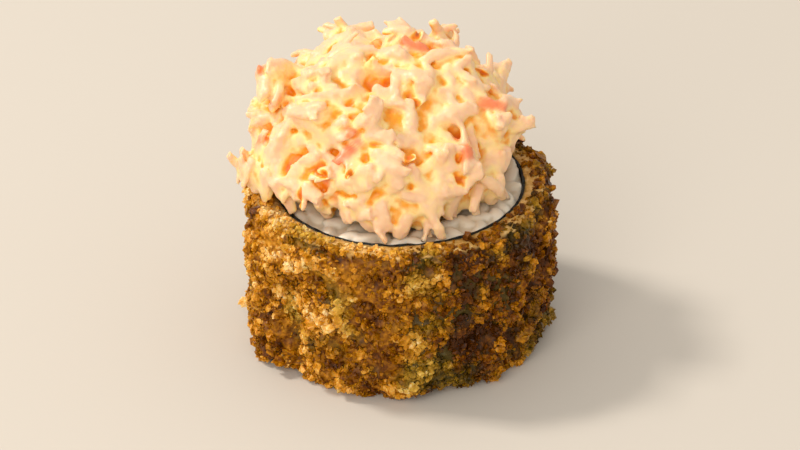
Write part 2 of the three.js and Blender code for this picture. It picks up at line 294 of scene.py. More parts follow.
def copies_of(models, picks, places, axes, sizes):
    """The points and triangles of all copies together, and for each point the number of its copy."""
    shapes = [(points_of(model), corners_of(model)) for model in models]
    points, corners, owners, first = [], [], [], 0
    for copy, pick in enumerate(picks):
        shape, faces = shapes[pick]
        points.append((shape * sizes[copy]) @ axes[copy] + places[copy])
        corners.append(faces + first)
        owners.append(np.full(len(shape), copy))
        first += len(shape)
    return np.concatenate(points), np.concatenate(corners), np.concatenate(owners)


def piece_from(name, points, corners):
    mesh = bpy.data.meshes.new(name)
    mesh.from_pydata(points.tolist(), [], corners.tolist())
    piece = bpy.data.objects.new(name, mesh)
    bpy.context.scene.collection.objects.link(piece)
    return piece


def put_away(models):
    """Removes the models once their copies are made."""
    for model in models:
        bpy.data.objects.remove(model)


def edge_ends(piece):
    """The point numbers of the two ends of every edge."""
    edges = np.empty(len(piece.data.edges) * 2, np.int32)
    piece.data.edges.foreach_get("vertices", edges)
    return edges.reshape(-1, 2).T


def keep_largest(piece):
    """Deletes the scraps and sealed hollows that a remesh leaves beside the one large skin."""
    a, b = edge_ends(piece)
    skin = np.arange(len(piece.data.vertices))  # each point takes the lowest number that it is joined to
    before = None
    while not np.array_equal(skin, before):
        before = skin.copy()
        np.minimum.at(skin, a, before[b])
        np.minimum.at(skin, b, before[a])
        skin = skin[skin]
    pick_only(piece)
    bpy.ops.object.mode_set(mode="EDIT")
    bpy.ops.mesh.select_all(action="DESELECT")
    bpy.ops.object.mode_set(mode="OBJECT")
    piece.data.vertices.foreach_set("select", skin != np.bincount(skin).argmax())
    bpy.ops.object.mode_set(mode="EDIT")
    bpy.ops.mesh.delete(type="VERT")
    bpy.ops.object.mode_set(mode="OBJECT")


def smoothed(piece, values, rounds):
    """Values at a piece's points, each averaged with its neighbours that many times over."""
    a, b = edge_ends(piece)
    count = len(piece.data.vertices)
    neighbours = np.maximum(np.bincount(a, minlength=count) + np.bincount(b, minlength=count), 1)
    columns = list(np.asarray(values, float).reshape(count, -1).T)
    for _ in range(rounds):
        sums = [np.bincount(a, column[b], count) + np.bincount(b, column[a], count) for column in columns]
        columns = [column / neighbours for column in sums]
    return np.squeeze(np.column_stack(columns))


# %% [markdown]
# ## The roll's outline
#
# The roll was pressed by hand and is a little out of round. Its layers all follow one outline, which
# is read from the lower edge of the solid disc of rice. Each layer is then a known step further out.

# %% Outline of the layers
LAYER_GAP = 0.3 * MM  # what the solids leave free between two layers
NORI_THICKNESS = 0.4 * MM
CUT_HEIGHT = 27 * MM  # of the upper cut, over the lower one on the table


def radius_of(points):
    """The distance of each point from the roll's axis."""
    return np.hypot(points[:, 0], points[:, 1])


def set_radius(points, radii):
    points[:, :2] *= (radii / np.maximum(radius_of(points), 1e-9))[:, None]


rice_solid = points_of(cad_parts["rice"])
at_foot = rice_solid[:, 2] < 0.1 * MM
off_centre = radius_of(rice_solid) > 10 * MM
edge_points = rice_solid[at_foot & off_centre]
edge_angles = np.arctan2(edge_points[:, 1], edge_points[:, 0])
edge_radii = radius_of(edge_points)


def rice_edge(points):
    """The radius of the solid rice in the direction of each point."""
    order = np.argsort(edge_angles)
    angles = np.arctan2(points[:, 1], points[:, 0])
    return np.interp(angles, edge_angles[order], edge_radii[order], period=2 * math.pi)


print("rice radius in mm:", edge_radii.min().round(5) / MM, "to", edge_radii.max().round(5) / MM)

# %% [markdown]
# ## The batter wall
#
# Under its crumbs the coating is a wall of batter about 3 mm thick. Where the knife went through, at
# the top and the bottom, it shows as a pale, bready ring round the black line of nori. The solid has
# the wall's real shape, with its coarse crags and the fold down its left side. A copy is remeshed
# finely enough for relief, and its cut faces are told apart from its crust.

# %% Batter wall
BATTER_VOXEL = 0.34 * MM

batter = copy_of_node("crumb_coating", "batter_wall")
apply_modifier(batter, "REMESH", mode="VOXEL", voxel_size=BATTER_VOXEL)
apply_modifier(batter, "SMOOTH", factor=0.5, iterations=2)

points, normals = points_of(batter), normals_of(batter)
on_top = smooth_step(points[:, 2], CUT_HEIGHT - 0.9 * MM, CUT_HEIGHT - 0.2 * MM)
underneath = 1 - smooth_step(points[:, 2], 0.1 * MM, 0.5 * MM)
facing_cut = smooth_step(np.abs(normals[:, 2]), 0.5, 0.85) * np.maximum(on_top, underneath)
in_bore = smooth_step(-(normals[:, :2] * points[:, :2]).sum(1) / radius_of(points), 0.3, 0.7)
cut_face = np.maximum(facing_cut, in_bore)
set_attribute(batter, "cut_face", cut_face)

# %% [markdown]
# The breading is thick in clumps a few millimetres wide and thin between them, so a coarse noise makes
# the clumps, and two finer ones make it uneven down to the grit. The cut faces stay nearly smooth.
# The gap that the solids keep between layers would show as a second dark line beside the nori, so the
# bore is drawn in until it meets the nori.

# %% Relief on the batter
CLUMP_SIZE, LUMP_SIZE, GRIT_SIZE = 3.8, 1.3, 0.8  # in mm, as the heights are
CLUMP_HEIGHT, LUMP_HEIGHT, GRIT_HEIGHT = 0.8, 0.3, 0.2
CLUMP_LEVEL = 0.6  # the thickness of breading, from 0 to 1, that stays where the solid has its face
BORE_OVERLAP = 0.05 * MM  # the batter clings to the nori


def clumps(points):
    """How thick the breading is: from 0 between the clumps to 1 on one."""
    return smooth_step(lumpy(points, CLUMP_SIZE, 11) + 0.5 * lumpy(points, 3 * CLUMP_SIZE, 4), -0.4, 0.45)


relief = CLUMP_HEIGHT * (clumps(points) - CLUMP_LEVEL)
relief += LUMP_HEIGHT * lumpy(points, LUMP_SIZE, 7)
relief += GRIT_HEIGHT * lumpy(points, GRIT_SIZE, 3)
relief *= 1 - 0.8 * cut_face
points += normals * (relief * MM)[:, None]
bore_radius = rice_edge(points) + LAYER_GAP + NORI_THICKNESS - BORE_OVERLAP
set_radius(points, radius_of(points) + in_bore * (bore_radius - radius_of(points)))
points[:, 2] = np.maximum(points[:, 2], 0)
move_points(batter, points)
pick_only(batter)
bpy.ops.object.shade_smooth()
print("batter wall:", len(batter.data.polygons), "faces")

# %% [markdown]
# ## Breadcrumbs
#
# Such crumbs are torn bits of dry white bread, 0.4 to 2.4 mm long, that fry to gold. A crumb starts
# as an icosphere whose corners are thrown about at random. Thinning it to half its faces leaves it
# with sharp, uneven edges like the real one. The finest start with so few faces that they aren't
# thinned. Eight are modelled for each size. Large, middling and fine crumbs are separate pieces. They
# are sunk into the batter by up to a third of their thickness, and they crowd on its clumps.

# %% A handful of crumbs
CRUMB_KINDS = 8
CLUSTER_SIZE = 1.8  # crumbs that fried as one cluster are of one colour
BETWEEN_CLUMPS, MORE_ON_CLUMPS, ON_RING = 0.32, 0.68, 0.7  # how readily crumbs stay there


def crumb_model(seed, divisions, roughness):
    """A craggy lump about 1 across, with a few dozen faces at most."""
    start_afresh()
    bpy.ops.mesh.primitive_ico_sphere_add(subdivisions=divisions, radius=0.5)
    bpy.ops.object.mode_set(mode="EDIT")
    bpy.ops.mesh.select_all(action="SELECT")
    bpy.ops.transform.vertex_random(offset=roughness, uniform=1.0, normal=0.0, seed=seed)
    bpy.ops.object.mode_set(mode="OBJECT")
    crumb = bpy.context.object
    if divisions > 1:
        apply_modifier(crumb, "DECIMATE", ratio=0.5)
    return crumb


def on_crust(middles, face_normals):
    """The chance of a crumb: high on the wall's clumps, less on the cut ring's outer edge, none inside."""
    outside = radius_of(middles) - rice_edge(middles)
    facing_out = (face_normals[:, :2] * middles[:, :2]).sum(1) / radius_of(middles)
    on_wall = smooth_step(facing_out, 0.1, 0.5) * (outside > 2 * MM)
    on_ring = smooth_step(outside / MM, 1.0, 2.6) * (middles[:, 2] > CUT_HEIGHT - 1 * MM)
    on_clumps = BETWEEN_CLUMPS + MORE_ON_CLUMPS * clumps(middles)
    return np.maximum(on_wall * on_clumps, ON_RING * on_ring)


def crust_of(name, count, lengths, sunk, seed, divisions, roughness):
    """One piece with all crumbs of one size. sunk is the share of their thickness in the batter."""
    draws = np.random.default_rng(seed)
    models = [crumb_model(kind + 1, divisions, roughness) for kind in range(CRUMB_KINDS)]
    places, face_normals = spots_on(batter, count, draws, on_crust)
    length = draws.uniform(*lengths, count) * MM
    widths = draws.uniform(0.6, 0.95, count)
    thicknesses = draws.uniform(0.45, 0.85, count)
    sizes = length[:, None] * np.column_stack([np.ones(count), widths, thicknesses])
    axes = lying_axes(face_normals, draws.uniform(0, 2 * math.pi, count), draws.normal(0, 0.8, count))
    places += face_normals * (sizes[:, 2] * (0.5 - sunk))[:, None]
    points, corners, owners = copies_of(models, draws.integers(0, CRUMB_KINDS, count), places, axes, sizes)
    put_away(models)
    points[:, 2] = np.maximum(points[:, 2], 0)
    piece = piece_from(name, points, corners)
    on_ring = smooth_step(places[:, 2], CUT_HEIGHT - 0.6 * MM, CUT_HEIGHT)
    clusters = smooth_step(lumpy(places, CLUSTER_SIZE, 6), -0.7, 0.7)
    # Crumbs between the clumps get a lower tone: partly frying, partly painted shade in the hollows
    # between the clumps.
    tone = 0.3 * draws.random(count) + 0.4 * clusters + 0.3 * np.maximum(clumps(places), on_ring)
    set_attribute(piece, "tone", tone[owners])
    print(f"{name}: {count} crumbs, {len(corners)} triangles")
    return piece


# %% The crumbs
large_crumbs = crust_of(
    "large_crumbs", 420, lengths=(1.3, 2.4), sunk=0.35, seed=3, divisions=2, roughness=0.22)
middling_crumbs = crust_of(
    "middling_crumbs", 3800, lengths=(0.8, 1.5), sunk=0.25, seed=4, divisions=2, roughness=0.22)
fine_crumbs = crust_of(
    "fine_crumbs", 9000, lengths=(0.4, 0.75), sunk=0.15, seed=5, divisions=1, roughness=0.24)

# %% [markdown]
# ### Fried batter and fried bread
#
# Frying browns the crumbs unevenly, and some areas are olive. Crumbs between the clumps are browner than
# those on them, partly from frying and partly as painted shade in the hollows between the clumps. Where
# the coating is thin, the dark nori shows through as a green-black shade. The tone also falls from left to
# right across the piece, golden on its left and brown on its right: partly uneven frying, partly painted
# shade on the side away from the light. The cut ring never met the oil, so it stays the colour of bread.
# Both finishes have a faint gloss of frying oil.

# %% Fried finishes
# The tone falls from left to right: partly uneven frying, partly painted shade on the right side, away
# from the light.
LIT_SIDE_FROM, SHADED_SIDE_FROM = -14 * MM, 14 * MM  # the places from left to right between which the tone falls
LIT_SIDE_SHIFT, SHADED_SIDE_SHIFT = 0.01, -0.37  # what is added to the tone on either side of them
BATTER_TONE = 0.39  # the batter itself is browner than most of its crumbs


def fried_colour(tree, where, tone_sum):
    """Dark brown to pale gold: tone_sum from 0 to 1 picks between them, and the place shifts it."""
    patches = add_node(tree, "ShaderNodeTexNoise", {"Vector": where, "Scale": per_metre(7), "Detail": 2.0})
    grit = add_node(tree, "ShaderNodeTexNoise", {"Vector": where, "Scale": per_metre(0.7), "Detail": 3.0})
    side = add_node(tree, "ShaderNodeSeparateXYZ", {"Vector": where})
    # Painted shade, partly from frying: the tone falls towards the right side.
    side_shade = add_node(tree, "ShaderNodeMapRange", {
        "Value": side.outputs["X"], "From Min": SHADED_SIDE_FROM, "From Max": LIT_SIDE_FROM,
        "To Min": SHADED_SIDE_SHIFT, "To Max": LIT_SIDE_SHIFT}, interpolation_type="SMOOTHSTEP")
    patch_shift = add_node(tree, "ShaderNodeMath", {
        0: patches.outputs["Fac"], 1: 1.2, 2: -0.6}, operation="MULTIPLY_ADD")
    grit_shift = add_node(tree, "ShaderNodeMath", {
        0: grit.outputs["Fac"], 1: 0.9, 2: -0.45}, operation="MULTIPLY_ADD")
    total = tone_sum
    for part in (side_shade.outputs["Result"], patch_shift.outputs[0], grit_shift.outputs[0]):
        total = add_node(tree, "ShaderNodeMath", {0: total, 1: part}, operation="ADD").outputs[0]
    golden = add_node(tree, "ShaderNodeValToRGB", {"Fac": total}, stops=[
        (0.0, linear("#421F00")), (0.2, linear("#6C3900")), (0.4, linear("#9C6200")),
        (0.6, linear("#CC881A")), (0.8, linear("#E6AE54")), (1.0, linear("#F2D294"))])
    olive = add_node(tree, "ShaderNodeValToRGB", {"Fac": total}, stops=[
        (0.0, linear("#302804")), (0.4, linear("#806414")),
        (0.8, linear("#D0A840")), (1.0, linear("#ECD898"))])
    zones = add_node(tree, "ShaderNodeTexNoise", {"Vector": where, "Scale": per_metre(8), "Detail": 2.0})
    olive_share = add_node(tree, "ShaderNodeMapRange", {
        "Value": zones.outputs["Fac"], "From Min": 0.5, "From Max": 0.65, "To Max": 0.8})
    return add_node(tree, "ShaderNodeMix", {
        "Factor": olive_share.outputs["Result"], 6: golden.outputs["Color"], 7: olive.outputs["Color"]},
        data_type="RGBA").outputs[2]


fried_bread, tree, where = start_material("fried_breadcrumb")
tone = add_node(tree, "ShaderNodeAttribute", attribute_name="tone")
spread = add_node(tree, "ShaderNodeMath", {
    0: tone.outputs["Fac"], 1: 0.8, 2: 0.13}, operation="MULTIPLY_ADD")
pores = add_node(tree, "ShaderNodeTexNoise", {"Vector": where, "Scale": per_metre(0.25), "Detail": 2.0})
bump = add_node(tree, "ShaderNodeBump", {
    "Strength": 0.5, "Distance": 0.1 * MM, "Height": pores.outputs["Fac"]})
shader = add_node(tree, "ShaderNodeBsdfPrincipled", {
    "Base Color": fried_colour(tree, where, spread.outputs[0]), "Roughness": 0.32, "IOR": 1.46,
    "Specular IOR Level": 0.18,
    "Subsurface Weight": 0.25, "Subsurface Radius": (1.0, 0.5, 0.15), "Subsurface Scale": 0.6 * MM,
    "Normal": bump.outputs["Normal"]})
end_material(tree, shader)

batter_finish, tree, where = start_material("fried_batter")
cut = add_node(tree, "ShaderNodeAttribute", attribute_name="cut_face")
thin_places = add_node(tree, "ShaderNodeTexNoise", {"Vector": where, "Scale": per_metre(9), "Detail": 3.0})
thin_share = add_node(tree, "ShaderNodeMapRange", {
    "Value": thin_places.outputs["Fac"], "From Min": 0.52, "From Max": 0.62, "To Max": 0.7})
crust_colour = add_node(tree, "ShaderNodeMix", {
    "Factor": thin_share.outputs["Result"], 6: fried_colour(tree, where, BATTER_TONE),
    7: linear("#4E4210")}, data_type="RGBA")
cells = add_node(tree, "ShaderNodeTexNoise", {"Vector": where, "Scale": per_metre(0.8), "Detail": 4.0})
bread_colour = add_node(tree, "ShaderNodeValToRGB", {"Fac": cells.outputs["Fac"]}, stops=[
    (0.3, linear("#A87C38")), (0.5, linear("#C89A52")), (0.7, linear("#DCB678"))])
ring = add_node(tree, "ShaderNodeMix", {
    "Factor": cut.outputs["Fac"], 6: crust_colour.outputs[2], 7: bread_colour.outputs["Color"]},
    data_type="RGBA")
bump = add_node(tree, "ShaderNodeBump", {
    "Strength": 0.35, "Distance": 0.2 * MM, "Height": cells.outputs["Fac"]})
shader = add_node(tree, "ShaderNodeBsdfPrincipled", {
    "Base Color": ring.outputs[2], "Roughness": 0.5, "IOR": 1.46, "Specular IOR Level": 0.25,
    "Subsurface Weight": 0.25, "Subsurface Radius": (1.0, 0.6, 0.3), "Subsurface Scale": 0.8 * MM,
    "Normal": bump.outputs["Normal"]})
end_material(tree, shader)

batter.data.materials.append(batter_finish)
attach(batter, "root")
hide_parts("crumb_coating")
for piece in (large_crumbs, middling_crumbs, fine_crumbs):
    piece.data.materials.append(fried_bread)
    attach(piece, "root")

# %% [markdown]
# ## Nori
#
# The nori is a sheet of roasted seaweed that has softened in the roll. At a cut only its edge shows,
# as a black line with a small tear here and there. A copy of the solid ring is divided and made a
# little thinner, and its edge is moved up and down a little.

# %% Nori sheet
TORN_BY = 0.12  # in mm, by each of two noises

nori = copy_of_node("nori_sheet", "nori_ring")
bpy.ops.object.mode_set(mode="EDIT")
bpy.ops.mesh.select_all(action="SELECT")
bpy.ops.mesh.subdivide(number_cuts=5)
bpy.ops.object.mode_set(mode="OBJECT")
print("nori:", len(nori.data.polygons), "faces")
points = points_of(nori)
in_middle = rice_edge(points) + LAYER_GAP + NORI_THICKNESS / 2
set_radius(points, in_middle + np.where(radius_of(points) > in_middle, 0.5, -0.5) * NORI_THICKNESS)
upper_part = smooth_step(points[:, 2], CUT_HEIGHT - 2 * MM, CUT_HEIGHT)
flat = points * [1, 1, 0]
points[:, 2] += upper_part * (TORN_BY * lumpy(flat, 1.5) + TORN_BY * lumpy(flat, 5)) * MM
move_points(nori, points)
pick_only(nori)
bpy.ops.object.shade_smooth()

roasted_seaweed, tree, where = start_material("roasted_seaweed")
veins = add_node(tree, "ShaderNodeTexNoise", {"Vector": where, "Scale": per_metre(1.2), "Detail": 3.0})
shade = add_node(tree, "ShaderNodeValToRGB", {"Fac": veins.outputs["Fac"]}, stops=[
    (0.35, linear("#0A0B08")), (0.65, linear("#191C16"))])
bump = add_node(tree, "ShaderNodeBump", {
    "Strength": 0.5, "Distance": 0.1 * MM, "Height": veins.outputs["Fac"]})
shader = add_node(tree, "ShaderNodeBsdfPrincipled", {
    "Base Color": shade.outputs["Color"], "Roughness": 0.55, "Specular IOR Level": 0.3,
    "Normal": bump.outputs["Normal"]})
end_material(tree, shader)
nori.data.materials.append(roasted_seaweed)
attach(nori, "root")
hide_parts("nori_sheet")

# %% [markdown]
# ## Rice
#
# Sushi rice is short-grained and sticky. The knife presses the grains it cuts, so at a cut face they
# lie close with flattened tops and soft, shallow grooves between them. Four grains are modelled and
# laid all over both faces of a copy of the solid disc, any way round. All of it is then remeshed into
# one body, because the grains are stuck together.


# %% Grains
def grain_model(seed):
    """A cooked grain of length 1 along X: an oval, a little bent and not quite even."""
    start_afresh()
    bpy.ops.mesh.primitive_uv_sphere_add(
        segments=12, ring_count=8, radius=0.5, rotation=(0, math.pi / 2, 0))
    bpy.ops.object.transform_apply(location=True, rotation=True, scale=True)
    bpy.ops.object.mode_set(mode="EDIT")
    bpy.ops.mesh.select_all(action="SELECT")
    bpy.ops.transform.vertex_random(offset=0.02, uniform=1.0, normal=0.0, seed=seed)
    bpy.ops.object.mode_set(mode="OBJECT")
    grain = bpy.context.object
    points = points_of(grain)
    points[:, 1] += 0.35 * points[:, 0] ** 2
    move_points(grain, points)
    return grain


GRAIN_KINDS = 4
GRAIN_SIZES = ((4.2, 5.4), (2.2, 2.6), (2.0, 2.4))  # least and most length, width and height in mm
GRAIN_NEAREST = 2.7 * MM
GRAIN_TRIES = 6000
PRESSED = 0.45  # what the knife leaves of a grain's height above the cut
rice_reach = edge_radii.mean() + LAYER_GAP


def grain_spots(draws):
    """Places on a disc, drawn at random and kept where no other is too near."""
    spots = []
    for _ in range(GRAIN_TRIES):
        radius = (rice_reach - 0.8 * MM) * math.sqrt(draws.random())
        angle = draws.uniform(0, 2 * math.pi)
        spot = np.array([radius * math.cos(angle), radius * math.sin(angle)])
        if all(np.hypot(*(spot - other)) > GRAIN_NEAREST for other in spots):
            spots.append(spot)
    return np.array(spots)


def laid_grains(name, level, side, seed):
    """Grains over one cut face. side is 1 where they look up and -1 where they look down."""
    draws = np.random.default_rng(seed)
    models = [grain_model(kind + 1) for kind in range(GRAIN_KINDS)]
    spots = grain_spots(draws)
    count = len(spots)
    places = np.column_stack([spots, level - side * draws.uniform(0.3, 1.1, count) * MM])
    sizes = np.column_stack([draws.uniform(*limits, count) for limits in GRAIN_SIZES]) * MM
    upwards = np.tile([0.0, 0.0, 1.0], (count, 1))
    axes = lying_axes(upwards, draws.uniform(0, 2 * math.pi, count), draws.uniform(-0.3, 0.3, count))
    points, corners, _ = copies_of(models, draws.integers(0, GRAIN_KINDS, count), places, axes, sizes)
    put_away(models)
    above = (points[:, 2] - level) * side
    points[:, 2] = level + side * np.where(above > 0, PRESSED * above, above)
    set_radius(points, np.minimum(radius_of(points), rice_edge(points) + LAYER_GAP))
    print(f"{name}: {count} grains")
    return piece_from(name, points, corners)


upper_grains = laid_grains("upper_grains", CUT_HEIGHT, 1, seed=21)
lower_grains = laid_grains("lower_grains", 0.25 * MM, -1, seed=22)

# %% One sticky body
RICE_VOXEL = 0.3 * MM
CREASE_ROUNDS = 8

rice = copy_of_node("rice", "pressed_rice")
points = points_of(rice)
points[:, 2] = np.clip(points[:, 2], 0.8 * MM, CUT_HEIGHT - 0.7 * MM)  # the laid grains end both faces
set_radius(points, radius_of(points) * (1 + LAYER_GAP / edge_radii.mean()))
move_points(rice, points)
pick_only(rice)
upper_grains.select_set(True)
lower_grains.select_set(True)
bpy.ops.object.join()
apply_modifier(rice, "REMESH", mode="VOXEL", voxel_size=RICE_VOXEL)
keep_largest(rice)
points = points_of(rice)
creased = ((smoothed(rice, points, CREASE_ROUNDS) - points) * normals_of(rice)).sum(1) / MM
points[:, 2] = np.maximum(points[:, 2], 0)
move_points(rice, points)
set_attribute(rice, "tone", np.clip(0.5 + 0.4 * lumpy(points, 4), 0, 1))
set_attribute(rice, "crease", smooth_step(creased, 0.0, 0.2))
print("creases in mm:", np.percentile(creased, [5, 50, 95, 99]).round(2))
pick_only(rice)
bpy.ops.object.shade_smooth()
print("rice:", len(rice.data.polygons), "faces")

# %% [markdown]
# Cooked rice is white, but light goes a millimetre or so into it and comes out softened, and a thin
# film of vinegar water gives it small sharp highlights.

# %% Rice finish
cooked_rice, tree, where = start_material("cooked_sushi_rice")
tone = add_node(tree, "ShaderNodeAttribute", attribute_name="tone")
shade = add_node(tree, "ShaderNodeValToRGB", {"Fac": tone.outputs["Fac"]}, stops=[
    (0.0, linear("#CEC1AA")), (1.0, linear("#DED4C2"))])
# The grooves between the grains are made darker and yellower: painted shade in the creases.
crease = add_node(tree, "ShaderNodeAttribute", attribute_name="crease")
painted_crease_shade = add_node(tree, "ShaderNodeMix", {
    "Factor": crease.outputs["Fac"], 6: shade.outputs["Color"], 7: linear("#C2B298")}, data_type="RGBA")
film = add_node(tree, "ShaderNodeTexNoise", {"Vector": where, "Scale": per_metre(0.7), "Detail": 2.0})
bump = add_node(tree, "ShaderNodeBump", {
    "Strength": 0.2, "Distance": 0.1 * MM, "Height": film.outputs["Fac"]})
shader = add_node(tree, "ShaderNodeBsdfPrincipled", {
    "Base Color": painted_crease_shade.outputs[2], "Roughness": 0.26, "IOR": 1.4,
    "Subsurface Weight": 0.5, "Subsurface Radius": (1.0, 0.8, 0.6), "Subsurface Scale": 0.6 * MM,
    "Normal": bump.outputs["Normal"]})
end_material(tree, shader)
rice.data.materials.append(cooked_rice)
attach(rice, "root")
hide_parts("rice")

# %% [markdown]
# ## The heap of shredded crab
#
# Crab sticks are pulled into shreds and stirred with a creamy dressing, which rounds them off and
# sticks them together. The solid has the heap's form and its largest shreds. A copy of it is drawn in
# and lowered a little, and nearly a thousand shreds are laid on the copy, so that they end near the
# solid's own outline. Higher up they lie any way round, and at the foot many hang down. All of them
# are remeshed into one skin, because the dressing leaves no seams between them.


# %% Shreds
def shred_model(seed):
    """A torn strip of length 1 along X: a box with its edges off, tapered, twisted and bent."""
    draws = np.random.default_rng(seed)
    start_afresh()
    bpy.ops.mesh.primitive_cube_add(size=1)
    bpy.ops.object.mode_set(mode="EDIT")
    bpy.ops.mesh.select_all(action="SELECT")
    bpy.ops.mesh.subdivide(number_cuts=2)
    bpy.ops.transform.vertex_random(offset=0.05, uniform=1.0, normal=0.0, seed=seed)
    bpy.ops.object.mode_set(mode="OBJECT")
    shred = bpy.context.object
    x, y, z = points_of(shred).T
    edges_off = 1 - 0.2 * (np.abs(y * z) > 0.15)
    y, z = y * edges_off, z * edges_off
    slim = 1 - np.where(x > 0, draws.uniform(0.1, 0.4), draws.uniform(0.05, 0.2)) * (2 * np.abs(x)) ** 2
    turn = draws.uniform(-1.2, 1.2) * x
    y, z = y * slim, z * (0.5 + 0.5 * slim)
    y, z = y * np.cos(turn) - z * np.sin(turn), y * np.sin(turn) + z * np.cos(turn)
    y += draws.uniform(-0.9, 0.9) * (0.25 - x ** 2)
    z += draws.uniform(0.3, 2.6) * (0.25 - x ** 2)
    move_points(shred, np.column_stack([x, y, z]))
    return shred


SHRED_KINDS = 12
SHRED_GATHERING = 6.0  # in mm, how wide the places are where shreds gather
SHRED_ROOM = 0.9 * MM  # how far the copy is drawn in, but not up from the rice
LOWERED = 0.9  # what the copy keeps of its height
FRINGE_LOW, FRINGE_HIGH = 1.5 * MM, 5 * MM  # heights above the foot between which the fringe starts
ALL_HANG, NONE_HANG = 4 * MM, 9 * MM  # heights above the foot between which fewer and fewer shreds hang
CORE_VOXEL = 0.5 * MM

heap_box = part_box("crab_topping")
heap_middle = (heap_box[0] + heap_box[1]) / 2
heap_foot = heap_box[0].z
heap = copy_of_node("crab_topping", "crab_heap")
apply_modifier(heap, "REMESH", mode="VOXEL", voxel_size=CORE_VOXEL)
apply_modifier(heap, "SMOOTH", factor=0.5, iterations=4)
outwards = normals_of(heap)
outwards[:, 2] = np.maximum(outwards[:, 2], 0)
points = points_of(heap) - SHRED_ROOM * outwards
points[:, 2] = heap_foot + LOWERED * (points[:, 2] - heap_foot)
move_points(heap, points)


def on_heap(middles, face_normals):
    """Shreds lie anywhere on the heap but under it, and gather in some places."""
    gathered = 0.3 + 0.7 * smooth_step(lumpy(middles, SHRED_GATHERING, 8), -0.4, 0.4)
    in_reach = smooth_step(face_normals[:, 2], -0.6, -0.2) * (middles[:, 2] > heap_foot + 0.6 * MM)
    return gathered * in_reach


def round_foot(middles, face_normals):
    """The fringe starts low on the heap's flank."""
    height = middles[:, 2] - heap_foot
    return (height > FRINGE_LOW) * (height < FRINGE_HIGH) * (face_normals[:, 2] > -0.5) * 1.0


def shred_places(where_from, count, draws, lengths, widths, tilt, hanging_share):
    """Where shreds lie on the heap, their axes and sizes. tilt is a middle and a spread in radians.
    Of the shreds near the foot a share hangs down."""
    places, face_normals = spots_on(heap, count, draws, where_from)
    free = draws.uniform(0, 2 * math.pi, count)
    hanging = -math.pi / 2 + draws.normal(0, 0.35, count)
    near_foot = 1 - smooth_step(places[:, 2], heap_foot + ALL_HANG, heap_foot + NONE_HANG)
    headings = np.where(draws.random(count) < hanging_share * near_foot, hanging, free)
    axes = lying_axes(face_normals, headings, draws.normal(*tilt, count))
    length = draws.uniform(*lengths, count)
    width = draws.uniform(*widths, count)
    sizes = np.column_stack([length, width, width * draws.uniform(0.5, 0.75, count)]) * MM
    places = places + face_normals * (sizes[:, 2] * draws.uniform(-0.05, 0.4, count))[:, None]
    return places, axes, sizes


def lay_shreds(where_from, count, draws, lengths, widths, tilt, hanging_share):
    """Joins that many shreds to the heap. It returns their points, triangles and each triangle's shred."""
    models = [shred_model(kind + 1) for kind in range(SHRED_KINDS)]
    places, axes, sizes = shred_places(where_from, count, draws, lengths, widths, tilt, hanging_share)
    points, corners, owners = copies_of(models, draws.integers(0, SHRED_KINDS, count), places, axes, sizes)
    put_away(models)
    shreds = piece_from("loose_shreds", points, corners)
    pick_only(heap)
    shreds.select_set(True)
    bpy.ops.object.join()
    return points, corners, owners[corners[:, 0]]


# %% [markdown]
# The dressing fills every narrow gap. Thick shreds are laid first. The skin round them is blown up,
# so that it closes over the gaps, fused by a remesh, and let down again. Slimmer shreds are then laid
# on this creamy mass, partly sunk in it, with a fringe of them hanging at the foot. These keep their
# edges, because a last remesh does no more than fuse them.

# %% One creamy skin
THICK_COUNT, SLIM_COUNT, FRINGE_COUNT = 260, 640, 75
GAP_REACH = 0.9 * MM  # half of the widest gap that the dressing fills
CREAM_VOXEL, SKIN_VOXEL = 0.45 * MM, 0.34 * MM

draws = np.random.default_rng(41)
lay_shreds(
    on_heap, THICK_COUNT, draws, lengths=(4.5, 9.0), widths=(2.0, 3.4), tilt=(0.04, 0.10),
    hanging_share=0.4)
for step in (0, GAP_REACH, -GAP_REACH):
    move_points(heap, points_of(heap) + step * normals_of(heap))
    apply_modifier(heap, "REMESH", mode="VOXEL", voxel_size=CREAM_VOXEL)
slim = lay_shreds(
    on_heap, SLIM_COUNT, draws, lengths=(3.5, 9.0), widths=(1.2, 2.4), tilt=(0.02, 0.07),
    hanging_share=0.5)
fringe = lay_shreds(
    round_foot, FRINGE_COUNT, draws, lengths=(4.0, 7.0), widths=(1.4, 2.4), tilt=(0.08, 0.06),
    hanging_share=1.0)
shred_points = np.concatenate([slim[0], fringe[0]])
shred_corners = np.concatenate([slim[1], len(slim[0]) + fringe[1]])
owners = np.concatenate([slim[2], SLIM_COUNT + fringe[2]])
apply_modifier(heap, "REMESH", mode="VOXEL", voxel_size=SKIN_VOXEL)
keep_largest(heap)
apply_modifier(heap, "SMOOTH", factor=0.5, iterations=1)

# %% [markdown]
# Here and there a hole or a groove between the shreds stays open, and it is painted deep orange as shade.
# These are pressed into the skin: each has a length, a width and a depth, and fades out all round.
# Their outlines waver, because the skin is measured with all its points shaken a little.

# %% Holes between the shreds
HOLE_COUNT = 22
HOLE_DEPTH = 1.2 * MM
HOLE_REACH = 2 * MM  # how far in or out of the skin a hole still moves it
HOLES_FROM = 3 * MM  # above the foot
SHAKEN_BY, SHAKEN_SIZE = 0.5 * MM, 1.6  # how far, and how many mm wide the moved places are


def on_flank_and_top(middles, face_normals):
    return (middles[:, 2] > heap_foot + HOLES_FROM) * smooth_step(face_normals[:, 2], -0.2, 0.2)


